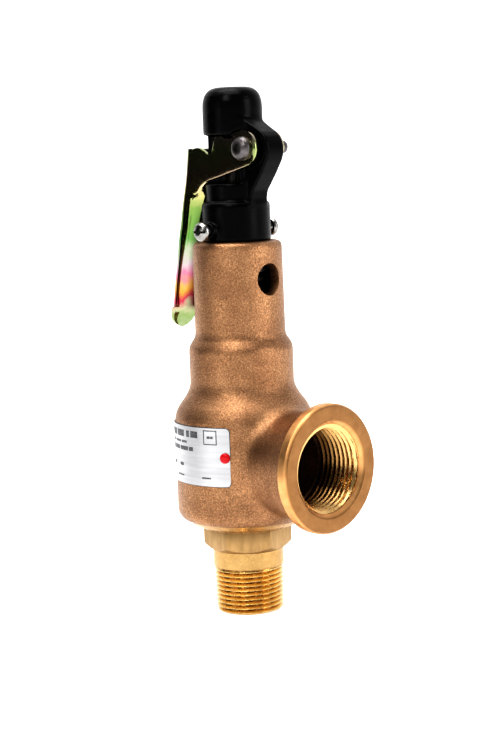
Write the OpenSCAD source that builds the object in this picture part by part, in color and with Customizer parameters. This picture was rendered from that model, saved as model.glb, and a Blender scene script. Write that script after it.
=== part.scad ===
// Side-outlet pressure relief valve with an open lifting lever, in millimetres.
// The origin is the centre of the inlet's end face. +Z runs up the spindle's axis
// and +X points to the outlet. Threads are plain cylinders.

/* [Inlet nozzle] */
// Mean radius of the 3/4 inch male taper thread
inlet_thread_r = 13.34; // [13.2:0.02:13.5]
// Length of the male thread
inlet_thread_len = 17.6; // [15:0.2:19]
// Radius of the plain collar above the thread
collar_r = 14; // [13.9:0.05:14.2]
// Size of the hexagon across its flats
hex_af = 30; // [29:0.5:31]
// Height of the face that the body screws down to
seat_face_z = 33.6; // [33:0.1:34.5]
// Radius of the throat
throat_r = 6.35; // [5.5:0.05:7]

/* [Body] */
// Radius of the cast barrel
barrel_r = 27; // [26.5:0.1:28]
// Radius of the waist below the spring housing
waist_r = 20.3; // [20:0.1:21]
// Radius of the spring housing at its foot
housing_r = 17.6; // [17.3:0.1:18.5]
// Height of the body's top face
body_top_z = 145.3; // [144:0.1:147]
// Radius of the vent hole in the spring housing
vent_r = 5.7; // [4:0.1:6]
// Height of the vent hole's centre
vent_z = 130.8; // [129:0.1:131.5]

/* [Outlet] */
// Height of the outlet's axis
outlet_z = 60.3; // [59.5:0.1:61]
// Distance of the outlet's face from the spindle's axis
outlet_x = 46.5; // [45:0.5:50]
// Minor radius of the 1 inch female thread
outlet_r = 15.2; // [15:0.1:15.4]
// Outer radius of the machined outlet ring
ring_r = 24.7; // [24:0.1:25]
// Radius of the countersunk mouth
mouth_r = 18.8; // [17:0.1:20]

/* [Cap and lever] */
// Radius of the cap's base
cap_base_r = 13.2; // [12.8:0.1:13.6]
// Radius of the cap's dome
dome_r = 11.5; // [11.2:0.1:11.6]
// Height of the top of the cap
cap_top_z = 204; // [203.5:0.1:206]
// Distance of the lever's pivot from the spindle's axis
pivot_x = 12.8; // [12.7:0.1:13.2]
// Height of the lever's pivot
pivot_z = 180.6; // [180.5:0.1:180.9]
// Overall width of the lever
lever_w = 15; // [14.8:0.1:15.2]
// Thickness of the lever's plate
lever_t = 1.7; // [1.5:0.1:1.7]

/* [Spring and spindle] */
// Radius of the stem
stem_r = 3; // [2.8:0.1:3]
// Diameter of the spring's wire
wire_d = 3; // [2.6:0.1:3.2]
// Mean radius of the spring's coils
coil_r = 9.8; // [9.6:0.05:9.85]
// Number of coils
coil_turns = 8.5; // [7.5:0.5:9.5]

/* [Nameplate] */
// Height of the nameplate's lower edge
plate_z = 53.6; // [52:0.1:55]
// Height of the nameplate
plate_h = 22.4; // [18:0.1:22.4]
// Thickness of the nameplate
plate_t = 0.3; // [0.2:0.05:0.5]

/* [Hidden] */

$fn = 96;
eps = 0.01;
over = 1;              // overshoot of cutting tools past a face
fit = 0.05;            // radial clearance of screwed and sliding joints

bronze = "#a9744a";
brass = "#c9a24f";
steel = "#b4b6b8";
black = "#151516";
yellow_zinc = "#b9a04c";
stainless = "#d5d7d8";
red = "#c2121b";

// Heights of the nozzle's steps
collar_top_z = 24.6;
hex_z = 27;
shank_top_z = 42.6;
seat_z = 54;

// Inside of the body
chamber_z0 = 43;
chamber_z1 = 74;
chamber_r = 22;
chamber_cone_top_z = 82;
guide_z = 84;
guide_t = 5;
guide_bore_r = 13.9;
spring_bore_r = 13.2;
spring_bore_top_z = 139;
spigot_r = 11.3;
spigot_top_z = 151;
screw_bore_r = 8;
body_bore_r = collar_r + fit;

// Regulating ring and its set screw
adj_r = 13.4;
adj_bore_r = 10.55;
adj_z0 = 44.5;
adj_z1 = 53;
adj_notch_r = 11.9;
adj_notch_top_z = 48.6;
adj_notches = 20;
adj_notch_w = 2;
set_screw_z = 46.5;
set_screw_r = 2.5;

// Spring stack
spring_z0 = 96;
spring_z1 = 133.5;
washer_r = 11.2;
washer_hub_r = 8.1;
upper_washer_top_z = 137;
spring_end_turns = 1;  // closed turns at each end
spring_sides = 12;
spring_steps = 28;     // rings along one turn

// Compression screw and its lock nut
comp_r = screw_bore_r - fit;
comp_top_z = 160;
comp_hex_z = 156;
comp_hex_af = 12.7;
comp_bore_r = 3.4;
lock_z = 151;
lock_t = 5;
lock_af = 19;

// Stem
stem_z0 = 58;
stem_top_z = 197;
stem_collar_z = 89.6;
stem_collar_t = 2.4;
stem_collar_r = 4.6;
release_z = 186.3;
release_r = 7.8;
release_t = 4.2;
release_lock_t = 4;
release_lock_af = 11;

// Cap levels, from the base upwards
cap_ledge_z = 159.5;
cap_shoulder_z = 161;
cap_shoulder_r = 11.3;
window_z0 = 167.5;
shoulder_top_z = 168.2;
neck_r = 10.2;
dome_z = 186;
post_half_w = 5.5;
cap_in_base_r = 11.4;
cap_in_base_z = 158;
cap_in_mid_r = 8.6;
cap_in_neck_r = 8.2;
dome_in_r = 10;
dome_in_z = 201;
cap_screw_z = 149.7;
cap_screw_r = 1.95;
cap_screw_tip_y = 9.7;
pad_r = 3.1;
pad_y = 15.5;
screw_head_r = 3.75;
screw_head_y = 17.3;
screw_head_t = 3.3;
lug_half_w = 4.5;
lug_r = 7.6;

// Pivot
ear_half_w = lever_w / 2;
ear_in_y = ear_half_w - lever_t;
ear_r = 6.75;
pin_r = 2.41;
ear_hole_r = 2.5;
bush_r = 3.6;
bush_len = 11.2;
pin_head_r = 4.5;
pin_head_y = 7.6;
pin_head_t = 3.4;
pin_end_y = 14.6;
pivot_nut_af = 8.7;
pivot_nut_t = 2.6;
socket_af = 3.2;
socket_depth = 1.8;

// Side outline of the lever: the web's outer face, from top to tip
web_top = [-19.2, 181.2];
web_break = [-22.7, 162];
web_low = [-32.2, 117.8];
web_tip = [-35.1, 111];
tongue_r = 6;
flange_end_z = 120;
cam_r = 3;
cam_top_z = 186;
lever_top_z = 184.3;

// Nameplate
plate_r = barrel_r + 0.05;
plate_a0 = -173;
plate_a1 = -56;
rivet_z = 64.7;
rivet_a = [-60, -168.5];
rivet_r = 1.2;
rivet_head_r = 2;
rivet_head_t = 1;
rivet_depth = 2.4;

// Turned solid from a list of [radius, height] points
module lathe(points) {
    rotate_extrude() polygon(points);
}

// Upright hexagonal prism of a given size across its flats
module hex_prism(af, h) {
    cylinder(r = af / sqrt(3), h = h, $fn = 6);
}

// Cylinder lying along X from x0 to x1 at the outlet's height
module outlet_cyl(r1, r2, x0, x1) {
    translate([x0, 0, outlet_z]) rotate([0, 90, 0])
        cylinder(r1 = r1, r2 = r2, h = x1 - x0);
}

// Cylinder lying along Y, from y0 to y1, about the point [x, z]
module cross_cyl(r, x, z, y0, y1) {
    translate([x, y1, z]) rotate([90, 0, 0]) cylinder(r = r, h = y1 - y0);
}

// Side outline in the X-Z plane, extruded in Y from y0 to y1
module side_plate(points, y0, y1) {
    translate([0, y1, 0]) rotate([90, 0, 0])
        linear_extrude(height = y1 - y0) polygon(points);
}

// Points on an arc from angle a0 to a1
function arc(cx, cy, r, a0, a1, n) =
    [for (i = [0:n]) let (a = a0 + (a1 - a0) * i / n)
        [cx + r * cos(a), cy + r * sin(a)]];

// Tilted line x at height z on the web's outer face below the break
function web_x(z) = web_break[0]
    + (web_low[0] - web_break[0]) * (z - web_break[1]) / (web_low[1] - web_break[1]);

// Body: barrel, waist, spring housing, outlet neck and spigot
module body_skin() {
    lathe([
        [0, seat_face_z], [17.4, seat_face_z], [21.3, 35.2], [24.9, 38], [26.1, 38.8],
        [26.8, 40.2], [barrel_r, 41.6], [barrel_r, 75],
        [26.7, 78.3], [25.4, 81.2], [23.4, 84], [21.7, 86.4], [20.7, 88.2],
        [waist_r, 90.5], [waist_r, 104.2], [19.9, 105.4],
        [18.2, 107.6], [housing_r, 109], [17.3, 143.6],
        [16.8, 144.8], [15.6, body_top_z], [0, body_top_z]
    ]);
    translate([0, 0, body_top_z - over])
        cylinder(r = spigot_r, h = spigot_top_z - body_top_z + over);
    outlet_cyl(20.6, 22.4, 4, 41.6);
    outlet_cyl(22.4, ring_r, 40.4, 41.8);
    outlet_cyl(ring_r, ring_r, 41.8, outlet_x - 1.2);
    outlet_cyl(ring_r, ring_r - 0.9, outlet_x - 1.2, outlet_x);
}

module body_cavity() {
    translate([0, 0, seat_face_z - over])
        cylinder(r = body_bore_r, h = chamber_z0 - seat_face_z + 2 * over);
    lathe([
        [0, chamber_z0], [chamber_r - 2, chamber_z0], [chamber_r, chamber_z0 + 2],
        [chamber_r, chamber_z1], [guide_bore_r, chamber_cone_top_z],
        [guide_bore_r, guide_z + guide_t], [0, guide_z + guide_t]
    ]);
    translate([0, 0, guide_z]) cylinder(r = spring_bore_r, h = spring_bore_top_z - guide_z);
    cylinder(r = screw_bore_r, h = spigot_top_z + over);
}

module body_ports() {
    outlet_cyl(14.5, 14.5, 10, outlet_x);
    outlet_cyl(outlet_r, outlet_r, 27, outlet_x);
    outlet_cyl(outlet_r, mouth_r, outlet_x - 1.7, outlet_x);
    translate([outlet_x, 0, outlet_z]) rotate([0, 90, 0]) cylinder(r = mouth_r, h = over);
    translate([12, 0, vent_z]) rotate([0, 90, 0]) cylinder(r = vent_r, h = 8);
    for (side = [-1, 1])
        translate([0, side * 5, cap_screw_z]) rotate([-90 * side, 0, 0])
            cylinder(r = cap_screw_r + fit, h = 10);
    translate([0, 20, set_screw_z]) rotate([-90, 0, 0])
        cylinder(r = set_screw_r + fit, h = 10);
    for (a = rivet_a)
        rotate([0, 0, a]) translate([barrel_r - rivet_depth, 0, rivet_z]) rotate([0, 90, 0])
            cylinder(r = rivet_r + fit, h = rivet_depth + over);
}

module body() {
    color(bronze) difference() {
        body_skin();
        body_cavity();
        body_ports();
    }
}

// Nozzle: male inlet, hexagon, shank and seat in one piece
module nozzle() {
    color(brass) difference() {
        union() {
            cylinder(r = inlet_thread_r, h = inlet_thread_len);
            translate([0, 0, inlet_thread_len - eps])
                cylinder(r = collar_r, h = collar_top_z - inlet_thread_len + 2 * eps);
            intersection() {
                translate([0, 0, collar_top_z]) rotate([0, 0, -14])
                    hex_prism(hex_af, seat_face_z - collar_top_z);
                lathe([
                    [0, collar_top_z], [collar_r, collar_top_z], [17.6, hex_z],
                    [17.6, seat_face_z], [0, seat_face_z]
                ]);
            }
            translate([0, 0, seat_face_z - eps])
                cylinder(r = collar_r, h = shank_top_z - seat_face_z + eps);
            lathe([
                [0, shank_top_z - eps], [10.5, shank_top_z - eps], [10.5, 51.2],
                [8.2, 53], [8.2, seat_z], [0, seat_z]
            ]);
        }
        lathe([
            [0, -over], [9.6, -over], [9.6, 22], [throat_r, 38],
            [throat_r, seat_z + over], [0, seat_z + over]
        ]);
    }
}

// Regulating ring on the nozzle's neck, notched for its set screw
module adjusting_ring() {
    color(brass) difference() {
        lathe([
            [adj_bore_r, adj_z0], [adj_r, adj_z0], [adj_r, adj_z1],
            [adj_r - 1, adj_z1], [adj_bore_r, adj_z1 - 1.6]
        ]);
        for (i = [0:adj_notches - 1])
            rotate([0, 0, 90 + i * 360 / adj_notches])
                translate([adj_notch_r, -adj_notch_w / 2, adj_z0 - over])
                    cube([3, adj_notch_w, adj_notch_top_z - adj_z0 + over]);
    }
}

module ring_set_screw() {
    color(steel) translate([0, 0, set_screw_z]) rotate([-90, 0, 0]) difference() {
        union() {
            translate([0, 0, 12.2]) cylinder(r = 0.85, h = 10);
            translate([0, 0, 21]) cylinder(r = set_screw_r, h = 8.6);
            translate([0, 0, 27.2]) cylinder(r = 4, h = 4.2, $fn = 6);
        }
        translate([-0.5, -5, 30.4]) cube([1, 10, 2]);
    }
}

// Disc that closes the throat, with a skirt over the regulating ring
module disc() {
    color(brass) difference() {
        lathe([
            [0, seat_z], [8.6, seat_z], [9, 54.6], [12.2, 54.6], [12.6, 55],
            [12.6, 56.6], [9.4, 58.2], [6, 60.5], [6, 62.5], [0, 62.5]
        ]);
        translate([0, 0, stem_z0]) cylinder(r = stem_r + fit, h = 10);
    }
}

module disc_retaining_ring() {
    color(steel) translate([0, 0, 62.5]) difference() {
        cylinder(r = 5.2, h = 1);
        translate([0, 0, -over]) cylinder(r = stem_r + 0.02, h = 1 + 2 * over);
        translate([0, -1.2, -over]) cube([8, 2.4, 1 + 2 * over]);
    }
}

// Plate that guides the stem between the outlet chamber and the spring
module guide_plate() {
    color(brass) translate([0, 0, guide_z]) difference() {
        cylinder(r = guide_bore_r - fit, h = guide_t);
        translate([0, 0, -over]) cylinder(r = stem_r + fit, h = guide_t + 2 * over);
        for (a = [45:90:315])
            rotate([0, 0, a]) translate([9, 0, -over]) cylinder(r = 1.4, h = guide_t + 2 * over);
    }
}

module lower_spring_washer() {
    color(steel) difference() {
        lathe([
            [0, 92], [washer_r - 1, 92], [washer_r, 93], [washer_r, spring_z0],
            [washer_hub_r, spring_z0], [washer_hub_r - 0.6, 99], [0, 99]
        ]);
        translate([0, 0, 90]) cylinder(r = stem_r + fit, h = 12);
    }
}

// Height of the wire's centre after t turns: closed ends, open pitch between
function spring_height(t) =
    let (closed = spring_end_turns * (wire_d + fit),
         open_turns = coil_turns - 2 * spring_end_turns,
         open_h = spring_z1 - spring_z0 - wire_d - 2 * closed)
    t < spring_end_turns ? closed * t / spring_end_turns
    : t > coil_turns - spring_end_turns
        ? closed + open_h
            + closed * (t - coil_turns + spring_end_turns) / spring_end_turns
    : closed + open_h * (t - spring_end_turns) / open_turns;

module spring() {
    n = coil_turns * spring_steps;
    points = [for (i = [0:n]) let (t = i / spring_steps, zc = spring_height(t))
        for (j = [0:spring_sides - 1]) let (a = 360 * j / spring_sides)
            [(coil_r + wire_d / 2 * cos(a)) * cos(360 * t),
             (coil_r + wire_d / 2 * cos(a)) * sin(360 * t),
             spring_z0 + wire_d / 2 + zc + wire_d / 2 * sin(a)]];
    sides = [for (i = [0:n - 1], j = [0:spring_sides - 1]) let (k = (j + 1) % spring_sides)
        [i * spring_sides + j, i * spring_sides + k,
         (i + 1) * spring_sides + k, (i + 1) * spring_sides + j]];
    foot = [[for (j = [spring_sides - 1:-1:0]) j]];
    head = [[for (j = [0:spring_sides - 1]) n * spring_sides + j]];
    color(steel) polyhedron(points, concat(sides, foot, head));
}

module upper_spring_washer() {
    color(steel) difference() {
        lathe([
            [0, 130.5], [washer_hub_r - 0.6, 130.5], [washer_hub_r, spring_z1],
            [washer_r, spring_z1], [washer_r, 136], [washer_r - 1, upper_washer_top_z],
            [0, upper_washer_top_z]
        ]);
        translate([0, 0, 129]) cylinder(r = comp_bore_r, h = 10);
    }
}

// Screw that sets the spring's load, with a hexagon for the spanner
module compression_screw() {
    color(brass) difference() {
        union() {
            translate([0, 0, upper_washer_top_z])
                cylinder(r = comp_r, h = comp_hex_z - upper_washer_top_z);
            translate([0, 0, comp_hex_z - eps])
                hex_prism(comp_hex_af, comp_top_z - comp_hex_z + eps);
        }
        translate([0, 0, upper_washer_top_z - over]) cylinder(r = comp_bore_r, h = 30);
    }
}

module lock_nut() {
    color(steel) translate([0, 0, lock_z]) difference() {
        hex_prism(lock_af, lock_t);
        translate([0, 0, -over]) cylinder(r = screw_bore_r, h = lock_t + 2 * over);
    }
}

module stem() {
    color(steel) lathe([
        [0, stem_z0], [stem_r, stem_z0], [stem_r, stem_collar_z],
        [stem_collar_r, stem_collar_z], [stem_collar_r, stem_collar_z + stem_collar_t],
        [stem_r, stem_collar_z + stem_collar_t], [stem_r, stem_top_z - 0.6],
        [stem_r - 0.6, stem_top_z], [0, stem_top_z]
    ]);
}

// Round nut that the lever's cams lift
module release_nut() {
    color(steel) translate([0, 0, release_z]) difference() {
        cylinder(r = release_r, h = release_t);
        translate([0, 0, -over]) cylinder(r = stem_r + 0.02, h = release_t + 2 * over);
    }
}

module release_lock_nut() {
    color(steel) translate([0, 0, release_z + release_t]) difference() {
        hex_prism(release_lock_af, release_lock_t);
        translate([0, 0, -over]) cylinder(r = stem_r + 0.02, h = release_lock_t + 2 * over);
    }
}

// Cap: base, shoulder, two posts, dome, lever lug and screw pads
module cap_skin() {
    lathe([
        [0, body_top_z], [cap_base_r, body_top_z], [cap_base_r, cap_ledge_z],
        [cap_base_r - 0.5, 160.2], [cap_shoulder_r, cap_shoulder_z],
        [cap_shoulder_r, shoulder_top_z], [neck_r, shoulder_top_z], [neck_r, dome_z],
        [dome_r, dome_z], [dome_r, 196.4], [11.3, 198.6], [10.7, 200.7],
        [9.6, 202.3], [8, 203.4], [5.8, cap_top_z], [0, cap_top_z]
    ]);
    side_plate(concat(
        [[neck_r - 1.6, 163.4], [13, 163.4]],
        arc(pivot_x + 1.4, pivot_z - 0.6, lug_r, -32, 62, 10),
        [[10.4, 189.6], [neck_r - 1.6, 189.6]]
    ), -lug_half_w, lug_half_w);
    side_plate([[9, 159.8], [12.7, 159.8], [13.1, 161.6], [13.7, 164.4], [9, 166]],
        -lug_half_w, lug_half_w);
    for (side = [-1, 1])
        translate([0, 0, cap_screw_z]) rotate([-90 * side, 0, 0])
            translate([0, 0, 12]) cylinder(r = pad_r, h = pad_y - 12);
}

module cap_windows() {
    window_w = 10;
    for (side = [-1, 1])
        translate([-12.5, side * (post_half_w + window_w / 2) - window_w / 2, window_z0])
            cube([25, window_w, dome_z - window_z0]);
    for (side = [-1, 1])
        cross_cyl(ear_r + 0.6, pivot_x, pivot_z,
            side > 0 ? post_half_w : -12, side > 0 ? 12 : -post_half_w);
}

module cap() {
    color(black) difference() {
        cap_skin();
        cap_windows();
        translate([0, 0, body_top_z - over])
            cylinder(r = cap_in_base_r, h = cap_in_base_z - body_top_z + over);
        translate([0, 0, cap_in_base_z - over])
            cylinder(r = cap_in_mid_r, h = window_z0 - cap_in_base_z + over);
        translate([0, 0, window_z0 - over])
            cylinder(r = cap_in_neck_r, h = dome_z - window_z0 + 2 * over);
        translate([0, 0, dome_z - over])
            cylinder(r = dome_in_r, h = dome_in_z - dome_z + over);
        cross_cyl(bush_r + fit, pivot_x, pivot_z, -6, 6);
        cross_cyl(cap_screw_r + fit, 0, cap_screw_z, -20, 20);
    }
}

// Round-headed screws that hold the cap on the body's spigot
module cap_screws() {
    color(steel) for (side = [-1, 1])
        translate([0, 0, cap_screw_z]) rotate([-90 * side, 0, 0]) difference() {
            union() {
                translate([0, 0, cap_screw_tip_y])
                    cylinder(r = cap_screw_r, h = screw_head_y - cap_screw_tip_y + eps);
                lathe([
                    [0, screw_head_y], [screw_head_r - 0.4, screw_head_y],
                    [screw_head_r, screw_head_y + 0.6], [screw_head_r, screw_head_y + 1.6],
                    [screw_head_r - 0.9, screw_head_y + 2.8],
                    [screw_head_r - 2.2, screw_head_y + screw_head_t],
                    [0, screw_head_y + screw_head_t]
                ]);
            }
            translate([-5, -0.5, screw_head_y + screw_head_t - 1]) cube([10, 1, 2]);
        }
}

// Outline of one ear, from the pivot's round end back to the handle
function ear_outline() = concat(
    [[-15.8, 180], [web_top[0] + 1, 180.3], [web_break[0] + 0.5, 161], [-17.2, 162.5],
     [-15.3, 163.5], [-14.2, 164.6], [-12.4, 166.2], [-10.3, 167.5], [-8.1, 168.4],
     [-6.3, 169], [6.2, 172]],
    arc(pivot_x, pivot_z, ear_r, -76, 140, 20),
    [[7.2, lever_top_z], [3, lever_top_z]],
    arc(0, cam_top_z - cam_r, cam_r, 26, 165, 8),
    [[-4, 181.2], [-5.2, 179.2], [-6.6, 178.7], [-8.5, 179.6], [-9.9, 180.5],
     [-11.2, 181.1], [-12.4, 181.4], [-14.1, 180.8]]
);

// Outline of the web, and of a side flange that ends above the tip
function web_outline() = [
    web_top, web_break, web_low, web_tip, [web_tip[0] + 1.5, web_tip[1] - 0.6],
    [web_low[0] + 2.2, web_low[1]],
    [web_break[0] + lever_t, web_break[1]], [web_top[0] + lever_t, web_top[1]]
];
function flange_outline() = [
    web_top, web_break, [web_x(flange_end_z), flange_end_z],
    [web_x(flange_end_z) + lever_t, flange_end_z],
    [web_x(flange_end_z + 5) + 3.2, flange_end_z + 5],
    [web_break[0] + 3.2, web_break[1] - 3.4], [web_break[0] + 4.1, web_break[1] - 1],
    [web_top[0] + 5.6, web_top[1] - 2]
];

// Handle: web plus side flanges, cut to a rounded tongue at the tip
module handle() {
    tip_z = web_tip[1] - 0.6 + tongue_r;
    intersection() {
        side_plate(web_outline(), -ear_half_w, ear_half_w);
        union() {
            translate([-40, -ear_half_w, flange_end_z]) cube([40, lever_w, 90]);
            translate([-40, -tongue_r, tip_z]) cube([40, 2 * tongue_r, 20]);
            translate([-40, 0, tip_z]) rotate([0, 90, 0]) cylinder(r = tongue_r, h = 40);
        }
    }
    side_plate(flange_outline(), ear_in_y, ear_half_w);
    side_plate(flange_outline(), -ear_half_w, -ear_in_y);
}

module lever() {
    color(yellow_zinc) difference() {
        union() {
            handle();
            side_plate(ear_outline(), ear_in_y, ear_half_w);
            side_plate(ear_outline(), -ear_half_w, -ear_in_y);
        }
        cross_cyl(ear_hole_r, pivot_x, pivot_z, -10, 10);
    }
}

module pivot_bush() {
    color(steel) difference() {
        cross_cyl(bush_r, pivot_x, pivot_z, -bush_len / 2, bush_len / 2);
        cross_cyl(pin_r + fit, pivot_x, pivot_z, -bush_len, bush_len);
    }
}

// Button-head screw that the lever turns on
module pivot_screw() {
    color(steel) difference() {
        union() {
            cross_cyl(pin_r, pivot_x, pivot_z, -pin_head_y - eps, pin_end_y);
            translate([pivot_x, -pin_head_y, pivot_z]) rotate([90, 0, 0]) lathe([
                [0, 0], [pin_head_r, 0], [pin_head_r, 1.2], [pin_head_r - 0.5, 2.2],
                [pin_head_r - 1.5, 3], [pin_head_r - 2.4, pin_head_t], [0, pin_head_t]
            ]);
        }
        translate([pivot_x, -pin_head_y - pin_head_t + socket_depth, pivot_z])
            rotate([90, 0, 0]) hex_prism(socket_af, socket_depth + over);
    }
}

module pivot_nut() {
    color(yellow_zinc) translate([pivot_x, pin_head_y, pivot_z]) rotate([-90, 0, 0])
        difference() {
            hex_prism(pivot_nut_af, pivot_nut_t);
            translate([0, 0, -over]) cylinder(r = pin_r + 0.02, h = pivot_nut_t + 2 * over);
        }
}

// Sheet nameplate wrapped on the barrel
module nameplate() {
    color(stainless) difference() {
        rotate([0, 0, plate_a0]) rotate_extrude(angle = plate_a1 - plate_a0)
            translate([plate_r, plate_z]) square([plate_t, plate_h]);
        for (a = rivet_a)
            rotate([0, 0, a]) translate([barrel_r - 2, 0, rivet_z]) rotate([0, 90, 0])
                cylinder(r = rivet_r + fit, h = 5);
    }
}

module nameplate_rivets() {
    head_x = plate_r + plate_t;
    color(red) for (a = rivet_a)
        rotate([0, 0, a]) translate([0, 0, rivet_z]) rotate([0, 90, 0]) lathe([
            [0, barrel_r - rivet_depth + 0.2], [rivet_r, barrel_r - rivet_depth + 0.2],
            [rivet_r, head_x], [rivet_head_r, head_x], [rivet_head_r, head_x + 0.3],
            [rivet_head_r - 0.5, head_x + 0.75], [rivet_head_r - 1.2, head_x + rivet_head_t],
            [0, head_x + rivet_head_t]
        ]);
}

body();
nozzle();
adjusting_ring();
ring_set_screw();
disc();
disc_retaining_ring();
guide_plate();
lower_spring_washer();
spring();
upper_spring_washer();
compression_screw();
lock_nut();
stem();
release_nut();
release_lock_nut();
cap();
cap_screws();
lever();
pivot_bush();
pivot_screw();
pivot_nut();
nameplate();
nameplate_rivets();
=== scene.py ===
"""Visual model of a bronze pressure relief valve, in metres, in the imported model's frame."""
import math

import bmesh
import bpy
import numpy as np
import openvdb
from mathutils import Matrix, Vector


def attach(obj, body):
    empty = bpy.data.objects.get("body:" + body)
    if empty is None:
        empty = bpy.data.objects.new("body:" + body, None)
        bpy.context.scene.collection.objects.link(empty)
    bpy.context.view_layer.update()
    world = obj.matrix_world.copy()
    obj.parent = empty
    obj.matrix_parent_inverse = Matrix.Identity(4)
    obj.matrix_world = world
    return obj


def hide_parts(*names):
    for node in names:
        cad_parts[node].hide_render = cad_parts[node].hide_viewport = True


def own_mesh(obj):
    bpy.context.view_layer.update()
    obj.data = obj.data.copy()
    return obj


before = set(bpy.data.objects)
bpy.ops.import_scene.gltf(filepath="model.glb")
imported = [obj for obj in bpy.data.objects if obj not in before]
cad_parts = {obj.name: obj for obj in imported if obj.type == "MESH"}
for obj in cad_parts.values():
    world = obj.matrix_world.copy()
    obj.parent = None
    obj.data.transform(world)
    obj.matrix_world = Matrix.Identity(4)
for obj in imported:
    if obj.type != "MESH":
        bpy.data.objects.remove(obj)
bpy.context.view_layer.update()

MM = 0.001
TAU = 2 * math.pi
SMOOTH_ANGLE = math.radians(32)
BEVEL_SMOOTH_ANGLE = math.radians(40)
NEARLY_STRAIGHT = math.radians(88)
CORNER_SHARE = 0.45
TINY = 1e-6

# Driving sizes in millimetres, the same as the CAD's
OUTLET_Z = 60.3
OUTLET_X = 46.5
RING_R = 24.7
MOUTH_R = 18.8
BARREL_R = 27.0
BODY_BASE_Z = 33.6
BODY_TOP_Z = 145.3
VENT_Z = 130.8
VENT_R = 5.7
CAP_SCREW_Z = 149.7
RIVET_Z = 64.7
PIVOT_X = 12.8
PIVOT_Z = 180.6
PIVOT_POINT = (PIVOT_X, 0, PIVOT_Z)
LEVER_T = 1.7
LEVER_HALF_W = 7.5
EAR_R = 6.75
SPRING_FOOT_Z = 96.0
SPRING_H = 37.5
WIRE_R = 1.5

# The two pipe threads, in millimetres; a taper is the gain in radius along the axis
INLET_PITCH = 25.4 / 14
INLET_TAPER = 0.028
INLET_CREST_R = 13.12
INLET_DEPTH = 1.2
OUTLET_PITCH = 25.4 / 11.5
OUTLET_TAPER = 1 / 32
OUTLET_DEPTH = 1.45
THREAD_STEPS_PER_TURN = 16

# The camera in metres, its shift as a share of the frame's longer side, and its lens
VIEW_AZIMUTH = math.radians(46)
CAMERA_PITCH = math.radians(7.27)
CAMERA_ROLL = math.radians(2.1)
CAMERA_DISTANCE = 0.686
CAMERA_H = 0.1804
CAMERA_SHIFT = 8 / 750
FOCAL_MM = 85
SENSOR_MM = 36

# The dark card that the lever mirrors, in degrees and metres
CARD_DIRECTION = -136
CARD_DISTANCE = 0.62
CARD_HALF_W = 0.22
CARD_H = 0.60


# ---------------------------------------------------------------- materials

def new_material(name, metallic, roughness=0.5):
    mat = bpy.data.materials.new(name)
    mat.use_nodes = True
    shader = mat.node_tree.nodes["Principled BSDF"]
    shader.inputs["Metallic"].default_value = metallic
    shader.inputs["Roughness"].default_value = roughness
    return mat, mat.node_tree, shader


def add_node(tree, kind, **inputs):
    node = tree.nodes.new(kind)
    for key, value in inputs.items():
        node.inputs[key.replace("_", " ")].default_value = value
    return node


def object_coords(tree, scale=(1, 1, 1)):
    coords = tree.nodes.new("ShaderNodeTexCoord")
    mapping = tree.nodes.new("ShaderNodeMapping")
    mapping.inputs["Scale"].default_value = scale
    tree.links.new(coords.outputs["Object"], mapping.inputs["Vector"])
    return mapping.outputs["Vector"]


def noise(tree, vector, size_mm, detail=3.0, rough=0.55):
    """Noise whose main features are about size_mm across, 0 to 1."""
    node = add_node(tree, "ShaderNodeTexNoise", Scale=1000.0 / size_mm, Detail=detail,
                    Roughness=rough)
    tree.links.new(vector, node.inputs["Vector"])
    return node.outputs["Fac"]


def ramp(tree, fac, stops):
    node = tree.nodes.new("ShaderNodeValToRGB")
    elements = node.color_ramp.elements
    while len(elements) < len(stops):
        elements.new(0.5)
    for element, (position, color) in zip(elements, stops):
        element.position = position
        element.color = (*color, 1)
    tree.links.new(fac, node.inputs["Fac"])
    return node.outputs["Color"]


def value_range(tree, fac, low, high, from_low=0.0, from_high=1.0):
    node = tree.nodes.new("ShaderNodeMapRange")
    node.inputs["From Min"].default_value = from_low
    node.inputs["From Max"].default_value = from_high
    node.inputs["To Min"].default_value = low
    node.inputs["To Max"].default_value = high
    tree.links.new(fac, node.inputs["Value"])
    return node.outputs["Result"]


def add_bump(tree, shader, height, depth_mm, strength=1.0):
    node = tree.nodes.new("ShaderNodeBump")
    node.inputs["Strength"].default_value = strength
    node.inputs["Distance"].default_value = depth_mm * MM
    tree.links.new(height, node.inputs["Height"])
    previous = shader.inputs["Normal"].links
    if previous:
        tree.links.new(previous[0].from_socket, node.inputs["Normal"])
    tree.links.new(node.outputs["Normal"], shader.inputs["Normal"])


def color_by(tree, shader, fac, stops):
    """Base colour from a ramp over fac."""
    tree.links.new(ramp(tree, fac, stops), shader.inputs["Base Color"])


def vary_roughness(tree, shader, fac, low, high, from_low=0.3, from_high=0.7):
    """Roughness that goes from low to high as fac rises."""
    spread = value_range(tree, fac, low, high, from_low, from_high)
    tree.links.new(spread, shader.inputs["Roughness"])


def calculate(tree, operation, *values):
    """Result of a maths node. Each value is a socket or a plain number."""
    node = tree.nodes.new("ShaderNodeMath")
    node.operation = operation
    for socket, value in zip(node.inputs, values):
        if isinstance(value, bpy.types.NodeSocket):
            tree.links.new(value, socket)
        else:
            socket.default_value = value
    return node.outputs[0]


def split(tree, vector):
    """The X, Y and Z of a vector."""
    node = tree.nodes.new("ShaderNodeSeparateXYZ")
    tree.links.new(vector, node.inputs[0])
    return node.outputs


def vector_length(tree, vector):
    node = tree.nodes.new("ShaderNodeVectorMath")
    node.operation = "LENGTH"
    tree.links.new(vector, node.inputs[0])
    return node.outputs["Value"]


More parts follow.
